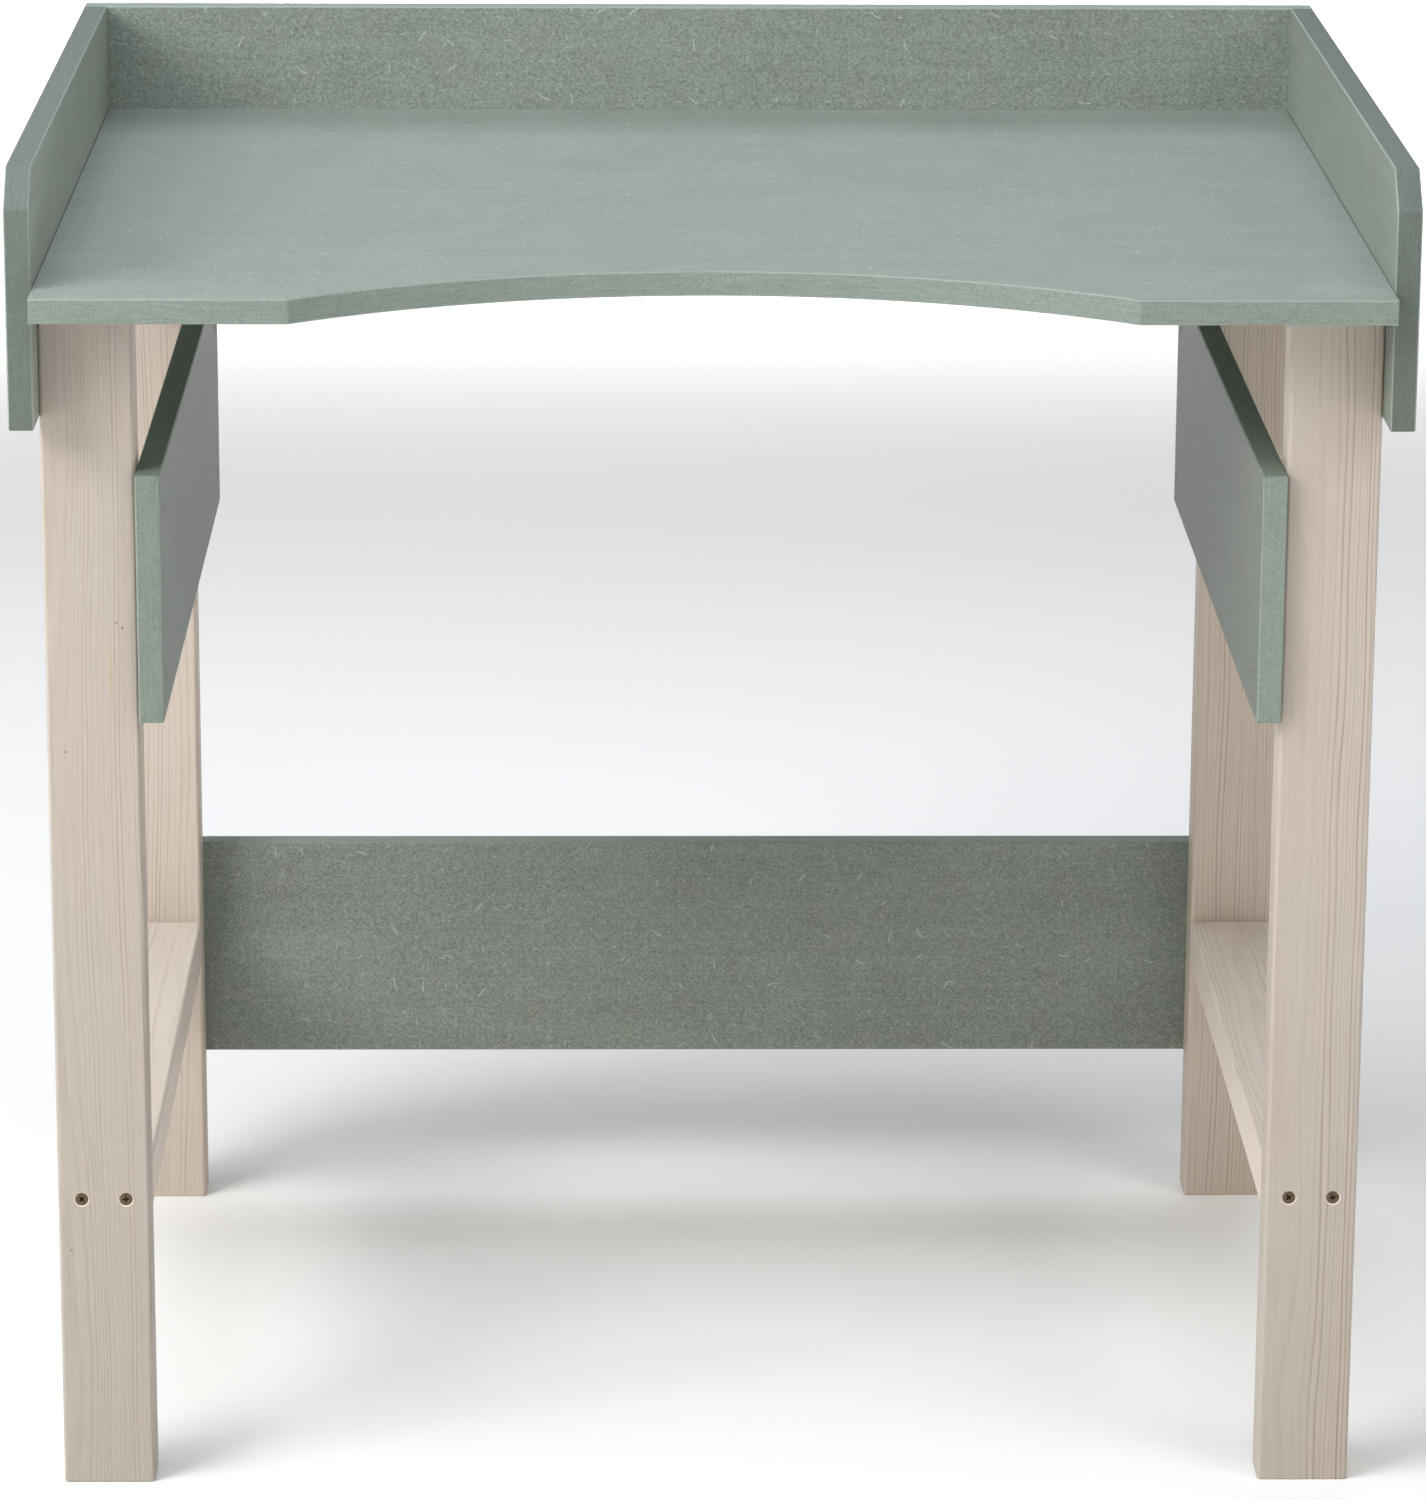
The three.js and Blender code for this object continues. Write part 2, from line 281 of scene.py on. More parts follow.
# How much each kind of unevenness changes the lightness and the height.
CLUMP_ON_FACE = 0.14
CLOUD_ON_FACE = 0.20
SANDING_ON_FACE = 0.24
GRIT_ON_EDGE = 1.0
SHEETS_ON_EDGE = 0.50
CLUMP_ON_EDGE = 0.20
SPECKLE_HEIGHT = 0.7
CLUMP_HEIGHT = 0.4
GRIT_HEIGHT = 1.6
SHEETS_HEIGHT = 0.8
GRIT_ROUGHNESS = 0.3
EDGE_ROUGHNESS = 0.2
# Where a board's core ends and its pressed face begins, in millimetres from its middle, and where between
# them a pale painted highlight runs along the arris.
FACE_SKIN = (7.6, 8.9)
ARRIS_HIGHLIGHT_FROM = (7.5, 8.3)
ARRIS_HIGHLIGHT_TO = (8.5, 8.95, 1.0, 0.0)
ARRIS_HIGHLIGHT_SHARE = 0.7
# How clearly the fibres show, by how speckled the board is.
FIBRES_BY_SPECKLE = (0.5, 2.0, 0.35, 1.0)

FIBRE = (0.50, 0.53, 0.46, 1.0)
# Kinds of fibre: cell, length and width in millimetres, share of cells with one, seed, and strength.
FIBRES = [
    ((24.0, 11.0, 1.0, 0.30, 1.0), 0.75),
    ((11.0, 6.0, 0.9, 0.35, 2.0), 0.50),
    ((4.5, 3.2, 0.9, 0.40, 5.0), 0.32),
]
DARK_SPECKS = ((15.0, 1.4, 1.0, 0.3, 3.0), 0.5)
# Where the middle of a fibre may be and how soft its ends are, in cells, and how much it bends.
FIBRE_MIDDLE = (0.0, 1.0, 0.35, 0.65)
FIBRE_END = (-0.04, 0.02, 1.0, 0.0)
FIBRE_BEND = 1.6
# How far its core and its soft side reach from its middle line, in widths.
FIBRE_CORE = 0.2
FIBRE_SIDE = 0.6
SECOND_DRAW = (17.0, 5.0, 3.0)

PINE_EARLY = (0.575, 0.510, 0.452, 1.0)
PINE_EARLY_WARM = (0.585, 0.490, 0.400, 1.0)
PINE_LATE = (0.400, 0.325, 0.262, 1.0)
PINE_KNOT = (0.19, 0.125, 0.085, 1.0)
PINE_RESIN = (0.45, 0.32, 0.19, 1.0)
PINE_ROUGHNESS = 0.56
PINE_RELIEF = 0.06 * MM
LONG_FIBRES = ((1.3, 1.3, 0.012), 3.0, 0.6)
PORES = ((2.6, 2.6, 0.07), 2.0, 0.6)
PATCHES = ((0.03, 0.03, 0.006), 2.0)
WASH = ((0.22, 0.22, 0.01), 2.0)
PATCH_RANGE = (0.3, 0.7)
PATCH_WARMTH = 0.4
POST_WARMTH = 0.6
WASH_OVER_RINGS = (0.3, 0.7, 1.0, 0.6)
FIBRE_LIGHTNESS = 0.30
PORE_LIGHTNESS = 0.20
KNOT_SHARE = 0.8
RESIN_SHARE = 0.5
FIBRE_HEIGHT = 1.2
LATE_HEIGHT = 0.8
KNOT_HEIGHT = -1.5
FIBRE_ROUGHNESS = 0.3
# Growth rings: their width in millimetres, how far they sway and ripple, and how unevenly they follow.
RING_WIDTH = 1.8
RING_SWAY = ((0.012, 0.012, 0.0026), 2.0)
RING_SWAY_REACH = 13.0
RING_RIPPLE = ((0.09, 0.09, 0.006), 2.0)
RING_RIPPLE_REACH = 1.3
RING_PACE = 0.06
RING_PACE_REACH = 6.0
# Where late wood begins and ends within a ring, how dark each year's is, and how weak it is where the rings
# lie flat to the face.
LATE_RISE = (0.45, 0.88)
LATE_FALL = (0.88, 1.0, 1.0, 0.0)
YEAR_STRENGTH = (0.0, 1.0, 0.25, 1.0)
YEAR_SEED = (3.0, 1.0)
FLAT_RINGS = (0.15, 0.65, 0.3, 1.0)
# Marks that are seen on the front faces: across, along, half width and half height in millimetres.
PIN_KNOTS = [
    (52.0, 207.0, 1.1, 1.5),
    (48.0, 211.0, 0.9, 1.0),
    (10.0, 116.0, 1.0, 1.2),
    (6.0, -260.0, 0.9, 1.2),
]
RESIN_STREAKS = [(34.0, 6290.0, 1.4, 22.0), (43.0, 175.0, 1.2, 40.0)]
# Marks elsewhere: cell size, share of cells with one, stretch along each axis, size and seed.
KNOT_CELL = ((33.0, 33.0, 150.0), 0.10, (1.0, 1.0, 1.3), 1.3, 4.0)
RESIN_CELL = ((29.0, 29.0, 230.0), 0.10, (1.0, 1.0, 16.0), 1.4, 9.0)
CELL_OFFSET = (500.0, 500.0, 0.0)
CELL_MIDDLE = (0.5, 0.5, 0.5)
MARK_WANDER = (0.6, 0.6, 0.7)
MARK_CORE = 0.4

PINE_BARE = (0.78, 0.69, 0.55, 1.0)
BARE_FIBRES = ((2.0, 2.0, 0.5), 3.0, 0.6)
BARE_LIGHTNESS = (0.25, 0.75, 0.9, 1.08)
BARE_ROUGHNESS = 0.75
BARE_RELIEF = 0.1 * MM

SCREW_DARK = (0.085, 0.060, 0.036, 1.0)
SCREW_LIGHT = (0.19, 0.14, 0.09, 1.0)
# A lighter ring on the head's rim, which is a painted highlight.
SCREW_RIM_HIGHLIGHT = (0.26, 0.205, 0.14, 1.0)
# A darker colour in the cross recess, which is painted shade.
SCREW_RECESS_SHADE = (0.02, 0.014, 0.010, 1.0)
SCREW_RELIEF = 0.02 * MM
SCREW_ROUGHNESS = 0.15
TARNISH = (0.7, 3.0, 0.6)
TARNISH_RANGE = (0.35, 0.65)
TARNISH_ROUGHNESS = 0.35
PLATING = (6.0, 2.0, 0.6)
PLATING_ROUGHNESS = 0.2
# Where the rim's painted highlight and the recess's painted shade are, in millimetres out from the axis and
# up from the head's top.
RIM_OUT = (4.25, 4.7)
RIM_UP = (-0.6, -0.2)
RIM_SHARE = 0.8
RECESS_OUT = (3.3, 3.0)
RECESS_UP = (-2.6, -2.2)
RECESS_IN = (-0.15, -0.7)

FLOOR_PAINT = (0.90, 0.888, 0.872, 1.0)
FLOOR_PAINT_WORN = (0.92, 0.908, 0.892, 1.0)
FLOOR_ROUGHNESS = 0.9
FLOOR_WEAR = (1.3, 2.0)


def strands(g, place, cell, length, width, share, seed):
    """Short fibres, at most one in each square cell of the board's face, each with its own place,
    direction, bend and length. A share of the cells has one. Gives 1 on a fibre and 0 off it."""
    x, y, _ = g.split(place)
    across = g.math("DIVIDE", x, cell)
    along = g.math("DIVIDE", y, cell)
    corner = g.join(g.math("FLOOR", across), g.math("FLOOR", along), seed)
    draw = g.random(corner)
    shift = g.split(draw["Color"])
    chance = g.random(g.vector("ADD", corner, SECOND_DRAW))["Value"]
    dx = g.math("SUBTRACT", g.math("FRACT", across), g.range(shift[0], *FIBRE_MIDDLE))
    dy = g.math("SUBTRACT", g.math("FRACT", along), g.range(shift[1], *FIBRE_MIDDLE))
    angle = g.math("MULTIPLY", shift[2], math.pi)
    cosine = g.math("COSINE", angle)
    sine = g.math("SINE", angle)
    run = g.math("ADD", g.product(dx, cosine), g.product(dy, sine))
    off = g.math("SUBTRACT", g.product(dy, cosine), g.product(dx, sine))
    bend = g.product(run, run, g.math("SUBTRACT", draw["Value"], 0.5))
    off = g.math("ABSOLUTE", g.total(off, (bend, FIBRE_BEND)))
    reach = g.math("MULTIPLY", draw["Value"], 0.5 * length / cell)
    on_width = g.range(off, FIBRE_CORE * width / cell, FIBRE_SIDE * width / cell, 1.0, 0.0)
    on_length = g.range(g.math("SUBTRACT", g.math("ABSOLUTE", run), reach), *FIBRE_END)
    return g.product(on_width, on_length, g.math("LESS_THAN", chance, share))


def fibreboard():
    """Grey-green moisture-resistant fibreboard: speckled pressed faces with pale fibres lying in them, and
    sawn, sanded edges with a granular core, with a painted highlight as a pale line along each arris."""
    g = Graph("green_fibreboard")
    place = g.attribute("local_mm")
    # The face and edge lightness hold painted light and shade as well as each board's own tone.
    face_lightness_with_painted_light, edge_lightness_with_painted_light, coarseness = g.split(g.attribute("tone"))
    from_middle = g.math("ABSOLUTE", g.split(place)[2])
    edge = g.math("SUBTRACT", 1.0, g.range(from_middle, *FACE_SKIN))
    grit = g.swing(place, *GRIT)
    clump = g.swing(place, *CLUMP)
    cloud = g.swing(place, *CLOUD)
    sanding = g.swing(place, *SANDING)
    sheets = g.swing(place, *SHEETS)
    speckle = g.math("MULTIPLY", grit, coarseness)

    tone = g.total(1.0, (clump, CLUMP_ON_FACE), (cloud, CLOUD_ON_FACE), (sanding, SANDING_ON_FACE))
    tone = g.product(g.math("ADD", tone, speckle), face_lightness_with_painted_light)
    edge_tone = g.total(1.0, (grit, GRIT_ON_EDGE), (sheets, SHEETS_ON_EDGE), (clump, CLUMP_ON_EDGE))
    edge_tone = g.product(edge_tone, edge_lightness_with_painted_light)

    warmth = g.noise(g.vector("ADD", place, WARMTH_OFFSET), *WARMTH)
    face = g.mix(g.range(warmth, *WARMTH_RANGE), FIBREBOARD_FACE, FIBREBOARD_FACE_WARM)
    face = g.scaled(face, tone)
    kind, strength = DARK_SPECKS
    face = g.mix(g.product(strands(g, place, *kind), strength), face, FIBREBOARD_SPECK)
    clearness = g.range(coarseness, *FIBRES_BY_SPECKLE)
    for kind, strength in FIBRES:
        face = g.mix(g.product(strands(g, place, *kind), strength, clearness), face, FIBRE)
    colour = g.mix(edge, face, g.scaled(FIBREBOARD_EDGE, edge_tone))
    # Painted highlight: a pale line along each arris.
    arris_highlight = g.product(g.range(from_middle, *ARRIS_HIGHLIGHT_FROM), g.range(from_middle, *ARRIS_HIGHLIGHT_TO), ARRIS_HIGHLIGHT_SHARE)
    colour = g.mix(arris_highlight, colour, FIBREBOARD_ARRIS_HIGHLIGHT)

    height = g.total(0.0, (speckle, SPECKLE_HEIGHT), (clump, CLUMP_HEIGHT))
    edge_height = g.total(0.0, (grit, GRIT_HEIGHT), (sheets, SHEETS_HEIGHT))
    relief = g.mix(edge, g.grey(height), g.grey(edge_height))
    roughness = g.total(FIBREBOARD_ROUGHNESS, (grit, GRIT_ROUGHNESS), (edge, EDGE_ROUGHNESS))
    return g.finish(colour, roughness, g.bump(relief, FIBREBOARD_RELIEF), Specular_IOR_Level=0.45)


def ring_pattern(g, place):
    """How late the wood grew at a place, from 0, early and pale, to 1, late and dark. The z axis of the
    coordinates is the middle of the tree, so the rings are lines on a face and arcs on an end."""
    x, y, _ = g.split(place)
    sway = g.noise(place, *RING_SWAY)
    ripple = g.noise(place, *RING_RIPPLE)
    radius = g.vector("LENGTH", g.join(x, y, 0.0))
    radius = g.total(radius, (sway, RING_SWAY_REACH), (ripple, RING_RIPPLE_REACH))
    pace = g.noise(g.join(g.product(radius, RING_PACE), 0.0, 0.0), 1.0, 1.0)
    count = g.total(g.math("DIVIDE", radius, RING_WIDTH), (pace, RING_PACE_REACH))
    part = g.math("FRACT", count)
    year = g.random(g.join(g.math("FLOOR", count), *YEAR_SEED))["Value"]
    late = g.product(g.range(part, *LATE_RISE), g.range(part, *LATE_FALL), g.range(year, *YEAR_STRENGTH))
    steepness = g.math("DIVIDE", g.math("ABSOLUTE", x), radius)
    return g.product(late, g.range(steepness, *FLAT_RINGS))


def spots(g, place, marks):
    """Where any of some marks is, from 0 to 1. A mark is an upright ellipse at a place of the posts'
    coordinates, seen from the front: its middle across and along, and its half width and half height."""
    x, _, z = g.split(place)
    found = 0.0
    for across, along, half_width, half_height in marks:
        dx = g.math("DIVIDE", g.math("SUBTRACT", x, across), half_width)
        dz = g.math("DIVIDE", g.math("SUBTRACT", z, along), half_height)
        reach = g.vector("LENGTH", g.join(dx, dz, 0.0))
        found = g.math("MAXIMUM", g.range(reach, MARK_CORE, 1.0, 1.0, 0.0), found)
    return found


def scattered(g, place, cell):
    """Marks of one kind, each in a few of the tall cells that the wood is divided into."""
    size, chance, stretch, reach, seed = cell
    scaled = g.vector("DIVIDE", g.vector("ADD", place, CELL_OFFSET), size)
    corner = g.vector("FLOOR", scaled)
    draw = g.random(g.vector("ADD", corner, (seed, 0.0, 0.0)))
    inside = g.vector("SUBTRACT", g.vector("FRACTION", scaled), CELL_MIDDLE)
    middle = g.vector("MULTIPLY", g.vector("SUBTRACT", draw["Color"], CELL_MIDDLE), MARK_WANDER)
    away = g.vector("DIVIDE", g.vector("MULTIPLY", g.vector("SUBTRACT", inside, middle), size), stretch)
    mark = g.range(g.vector("LENGTH", away), MARK_CORE * reach, reach, 1.0, 0.0)
    return g.product(mark, g.math("LESS_THAN", draw["Value"], chance))


def pine():
    """Planed pine under a thin white wash: fine rings, long fibres, a few pin knots and resin streaks."""
    g = Graph("whitewashed_pine")
    place = g.attribute("local_mm")
    # The lightness holds painted light and shade as well as each post's own tone.
    light, warm, ring_strength = g.split(g.attribute("tone"))
    late = ring_pattern(g, place)
    fibre = g.swing(place, *LONG_FIBRES)
    pore = g.swing(place, *PORES)
    patch = g.noise(place, *PATCHES)
    wash = g.noise(place, *WASH)

    warmth = g.total(g.product(warm, POST_WARMTH), (g.range(patch, *PATCH_RANGE), PATCH_WARMTH))
    wood = g.mix(warmth, PINE_EARLY, PINE_EARLY_WARM)
    wood = g.mix(g.product(late, ring_strength, g.range(wash, *WASH_OVER_RINGS)), wood, PINE_LATE)
    tone = g.total(1.0, (fibre, FIBRE_LIGHTNESS), (pore, PORE_LIGHTNESS))
    wood = g.scaled(wood, g.product(tone, light))
    other_knots = g.product(scattered(g, place, KNOT_CELL), KNOT_SHARE)
    knots = g.math("MAXIMUM", spots(g, place, PIN_KNOTS), other_knots)
    resin = g.math("MAXIMUM", spots(g, place, RESIN_STREAKS), scattered(g, place, RESIN_CELL))
    wood = g.mix(g.product(resin, RESIN_SHARE), wood, PINE_RESIN)
    wood = g.mix(knots, wood, PINE_KNOT)

    height = g.total(0.0, (fibre, FIBRE_HEIGHT), (late, LATE_HEIGHT), (knots, KNOT_HEIGHT))
    roughness = g.total(PINE_ROUGHNESS, (fibre, FIBRE_ROUGHNESS))
    return g.finish(wood, roughness, g.bump(height, PINE_RELIEF), Specular_IOR_Level=0.4)


def bare_pine():
    """The fresh cut wood in a countersink, which the wash doesn't reach."""
    g = Graph("bare_pine")
    fibre = g.noise(g.attribute("local_mm"), *BARE_FIBRES)
    colour = g.scaled(PINE_BARE, g.range(fibre, *BARE_LIGHTNESS))
    return g.finish(colour, BARE_ROUGHNESS, g.bump(fibre, BARE_RELIEF), Specular_IOR_Level=0.3)


def screw_metal():
    """Yellow zinc plate that has gone brown and patchy, with a painted highlight on the rim and painted
    shade in the recess.
    """
    g = Graph("tarnished_zinc")
    place = g.attribute("local_mm")
    x, y, z = g.split(place)
    tarnish = g.noise(place, *TARNISH)
    plating = g.noise(place, *PLATING)
    colour = g.mix(g.range(tarnish, *TARNISH_RANGE), SCREW_DARK, SCREW_LIGHT)
    out = g.vector("LENGTH", g.join(x, y, 0.0))
    # Painted highlight: a lighter ring round the rim.
    rim_highlight = g.product(g.range(out, *RIM_OUT), g.range(z, *RIM_UP), RIM_SHARE)
    colour = g.mix(rim_highlight, colour, SCREW_RIM_HIGHLIGHT)
    # Painted shade: the inside of the cross recess is darkened.
    recess = g.product(g.range(out, *RECESS_OUT), g.range(z, *RECESS_UP), g.range(z, *RECESS_IN))
    colour = g.mix(recess, colour, SCREW_RECESS_SHADE)
    roughness = g.total(SCREW_ROUGHNESS, (plating, PLATING_ROUGHNESS), (tarnish, TARNISH_ROUGHNESS))
    return g.finish(colour, roughness, g.bump(plating, SCREW_RELIEF), Metallic=0.75)


def floor_paint():
    g = Graph("floor_paint")
    coordinates = g.add("ShaderNodeTexCoord").outputs["Object"]
    colour = g.mix(g.noise(coordinates, *FLOOR_WEAR), FLOOR_PAINT, FLOOR_PAINT_WORN)
    return g.finish(colour, FLOOR_ROUGHNESS, Specular_IOR_Level=0.2)


# ---------------------------------------------------------------- shapes


def rectangle(length, width):
    x, y = length / 2, width / 2
    return [(-x, -y), (x, -y), (x, y), (-x, y)]


def rounded_rectangle(length, width, radius, steps):
    points = []
    for quarter, (sx, sy) in enumerate([(1, 1), (-1, 1), (-1, -1), (1, -1)]):
        for step in range(steps + 1):
            angle = math.pi / 2 * (quarter + step / steps)
            x = sx * (length / 2 - radius) + radius * math.cos(angle)
            y = sy * (width / 2 - radius) + radius * math.sin(angle)
            points.append((x, y))
    return points


def worktop_outline(length, width):
    """A rectangle with a shallow arc cut out of its front edge."""
    x, y = length / 2, width / 2
    radius = (CUT_OUT_HALF_WIDTH**2 + CUT_OUT_DEPTH**2) / (2 * CUT_OUT_DEPTH)
    reach = math.asin(CUT_OUT_HALF_WIDTH / radius)
    arc = []
    for step in range(CUT_OUT_STEPS + 1):
        angle = reach * (2 * step / CUT_OUT_STEPS - 1)
        arc.append((radius * math.sin(angle), -y + CUT_OUT_DEPTH - radius + radius * math.cos(angle)))
    return [(-x, -y), *arc, (x, -y), (x, y), (-x, y)]


def side_panel_outline(length, height):
    """A rectangle with its front top corner cut off. Its x runs to the rear."""
    x, y = length / 2, height / 2
    return [(-x, -y), (x, -y), (x, y), (-x + CHAMFER, y), (-x, y - CHAMFER)]


def prism(outline, thickness):
    bm = bmesh.new()
    low = [bm.verts.new((x, y, -thickness / 2)) for x, y in outline]
    high = [bm.verts.new((x, y, thickness / 2)) for x, y in outline]
    bm.faces.new(list(reversed(low)))
    bm.faces.new(high)
    for index in range(len(outline)):
        following = (index + 1) % len(outline)
        bm.faces.new([low[index], low[following], high[following], high[index]])
    bm.normal_update()
    return bm


def soften(bm, radius, steps, weight):
    """The mesh with each sharp edge rounded, to the radius times the edge's own weight."""
    layer = bm.edges.layers.float.new("bevel_weight_edge")
    for edge in bm.edges:
        if edge.calc_face_angle(0.0) > SHARP_ANGLE:
            edge[layer] = weight(edge)
    body = object_of(mesh_of(bm, "being_softened"), "being_softened")
    rounding = body.modifiers.new("rounding", "BEVEL")
    rounding.limit_method = "WEIGHT"
    rounding.width = radius
    rounding.segments = steps
    return baked(body)


def rows_of_rings(rings):
    """A closed bmesh through rings of points, each ring one row, with flat ends."""
    bm = bmesh.new()
    rows = [[bm.verts.new(point) for point in ring] for ring in rings]
    sides = len(rows[0])
    for lower, upper in zip(rows, rows[1:]):
        for index in range(sides):
            following = (index + 1) % sides
            bm.faces.new([lower[index], lower[following], upper[following], upper[index]])
    bm.faces.new(list(reversed(rows[0])))
    bm.faces.new(rows[-1])
    bm.normal_update()
    return bm


def ring(radius, height, sides):
    """Points of a circle round z. The radius is a number, or a function of the angle."""
    points = []
    for index in range(sides):
        angle = 2 * math.pi * index / sides
        size = radius(angle) if callable(radius) else radius
        points.append((size * math.cos(angle), size * math.sin(angle), height))
    return points


def mesh_of(bm, name):
    mesh = bpy.data.meshes.new(name)
    bm.to_mesh(mesh)
    bm.free()
    return mesh


def object_of(mesh, name):
    made = bpy.data.objects.new(name, mesh)
    bpy.context.scene.collection.objects.link(made)
    return made


def baked(body):
    """The object's mesh with its modifiers applied. The object itself goes."""
    graph = bpy.context.evaluated_depsgraph_get()
    mesh = bpy.data.meshes.new_from_object(body.evaluated_get(graph), depsgraph=graph)
    bpy.data.objects.remove(body)
    return mesh


def cut(mesh, cutter):
    """The mesh with the cutter's solids taken out of it."""
    body = object_of(mesh, "being_cut")
    tool = object_of(cutter, "cutter")
    difference = body.modifiers.new("cut", "BOOLEAN")
    difference.operation = "DIFFERENCE"
    difference.solver = "EXACT"
    difference.object = tool
    result = baked(body)
    bpy.data.objects.remove(tool)
    return result


# ---------------------------------------------------------------- screws


class ScrewPlace:
    """Where a screw of the frame lies: the middle of its head, the way its head faces, and its length."""

    def __init__(self, name):
        low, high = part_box(name)
        size = high - low
        self.name = name
        self.low = low
        self.high = high
        self.axis = max(range(3), key=lambda index: size[index])
        self.length = size[self.axis]
        middle = (low + high) / 2
        wide_end = max((low[self.axis], high[self.axis]), key=lambda end: self.spread(end, middle))
        self.head = middle.copy()
        self.head[self.axis] = wide_end
        self.outward = Vector((0, 0, 0))
        self.outward[self.axis] = math.copysign(1, wide_end - middle[self.axis])
        self.sink = self.depth_below_face()

    def spread(self, end, middle):
        """How far the frame's screw reaches from its axis at one end."""
        spans = [0.0]
        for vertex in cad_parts[self.name].data.vertices:
            if abs(vertex.co[self.axis] - end) < HEAD_TOLERANCE:
                off = vertex.co - middle
                off[self.axis] = 0
                spans.append(off.length)
        return max(spans)

    def depth_below_face(self):
        """How far the wood's face is above the screw's head."""
        faces = []
        for low, high in WOOD_BOXES.values():
            if self.passes(low, high):
                face = high if self.outward[self.axis] > 0 else low
                faces.append((face[self.axis] - self.head[self.axis]) * self.outward[self.axis])
        return max(faces)

    def matrix(self, turn=0.0):
        """Takes a screw that stands on its point along z, with its head at the origin, to its place."""
        facing = Vector((0, 0, 1)).rotation_difference(self.outward).to_matrix().to_4x4()
        if self.axis == 1:
            upright = Matrix.Rotation(0 if self.outward.y < 0 else math.pi, 4, "Z")
            facing = facing @ upright
        return Matrix.Translation(self.head) @ facing @ Matrix.Rotation(turn, 4, "Z")

    def passes(self, low, high):
        """True if the screw enters the box between two corners."""
        gap = BOX_TOLERANCE
        return all(self.low[i] < high[i] - gap and self.high[i] > low[i] + gap for i in range(3))


def thread_radius(height, top, bottom):
    """The screw's radius round its axis at a height: a ridge that winds down the core to the point."""
    taper = min(1.0, (height - bottom) / POINT_LENGTH)
    fade = min(1.0, (top - height) / THREAD_PITCH)

    def radius(angle):
        phase = (height / THREAD_PITCH + angle / (2 * math.pi)) % 1.0
        ridge = max(0.0, 1.0 - abs(phase - 0.5) / THREAD_WIDTH)
        return max(POINT_RADIUS, taper * (CORE_RADIUS + (THREAD_RADIUS - CORE_RADIUS) * ridge * fade))

    return radius


def screw_rings(length):
    """Rings from the point up to the head, whose flat top is at height 0."""
    bottom = -length
    head_depth = HEAD_RADIUS - THREAD_RADIUS
    thread_top = -head_depth - NECK_LENGTH
    count = int((thread_top - bottom) / THREAD_PITCH * THREAD_ROWS)
    rings = []
    for step in range(count + 1):
        height = bottom + (thread_top - bottom) * step / count
        rings.append(ring(thread_radius(height, thread_top, bottom), height, SCREW_SIDES))
    upper = [
        (NECK_RADIUS, thread_top + NECK_START),
        (NECK_RADIUS, -head_depth - NECK_END),
        (THREAD_RADIUS, -head_depth),
        (HEAD_RADIUS - HEAD_BREAK, -HEAD_EDGE - HEAD_BREAK),
        (HEAD_RADIUS, -HEAD_EDGE),
        (HEAD_RADIUS - HEAD_BREAK / 2, -HEAD_BREAK),
        (HEAD_RADIUS - HEAD_EDGE, 0.0),
    ]
    return rings + [ring(radius, height, SCREW_SIDES) for radius, height in upper]


def recess_slot(turn):
    """One slot of the cross, which narrows as it goes down."""
    slope = HOLE_CLEAR / RECESS_DEPTH
    mouth = [top + (top - floor) * slope for top, floor in zip(RECESS_TOP, RECESS_FLOOR)]
    rows = []
    for (length, width), height in ((RECESS_FLOOR, -RECESS_DEPTH), (mouth, HOLE_CLEAR)):
        rows.append([(x, y, height) for x, y in rectangle(length, width)])
    bm = rows_of_rings(rows)
    bmesh.ops.rotate(bm, cent=(0, 0, 0), matrix=Matrix.Rotation(turn, 3, "Z"), verts=bm.verts)
    return mesh_of(bm, "recess")


def screw_mesh(length, material):
    mesh = mesh_of(rows_of_rings(screw_rings(length)), "screw")
    for turn in (0, math.pi / 2):
        mesh = cut(mesh, recess_slot(turn))
    mesh.name = f"screw_{round(length * TO_MM)}"
    store_local(mesh, Vector((0, 0, 0)))
    mesh.materials.clear()
    mesh.materials.append(material)
    shade(mesh, SCREW_SMOOTH_DEGREES)
    return mesh


def hole_cutter(places, to_local):
    """The holes for some screws, in a board's own coordinates."""
    bm = bmesh.new()
    for place in places:
        profile = [
            (HOLE_TIP, -place.length - HOLE_END),
            (HOLE_RADIUS, -place.length + POINT_LENGTH),
            (HOLE_RADIUS, place.sink - (HOLE_MOUTH - HOLE_RADIUS)),
            (HOLE_MOUTH, place.sink),
            (HOLE_MOUTH, place.sink + HOLE_CLEAR),
        ]
        part = rows_of_rings([ring(radius, height, HOLE_SIDES) for radius, height in profile])
        bmesh.ops.transform(part, matrix=to_local @ place.matrix(), verts=part.verts)
        hole = mesh_of(part, "hole")
        bm.from_mesh(hole)
        bpy.data.meshes.remove(hole)
    return mesh_of(bm, "holes")


# ---------------------------------------------------------------- pieces


def store_local(mesh, offset):
    """Keeps each vertex's own coordinates, in millimetres, for the materials to read."""
    layer = mesh.attributes.new("local_mm", "FLOAT_VECTOR", "POINT")
    for index, vertex in enumerate(mesh.vertices):
        layer.data[index].vector = vertex.co * TO_MM + offset


def store_tone(mesh, tone):
    """Keeps the three numbers that set this piece of wood apart from the others of its material. The
    lightness among them holds painted light and shade as well as the piece's own tone.
    """
    layer = mesh.attributes.new("tone", "FLOAT_VECTOR", "POINT")
    for item in layer.data:
        item.vector = tone


def shade(mesh, degrees):
    mesh.polygons.foreach_set("use_smooth", [True] * len(mesh.polygons))
    mesh.set_sharp_from_angle(angle=math.radians(degrees))


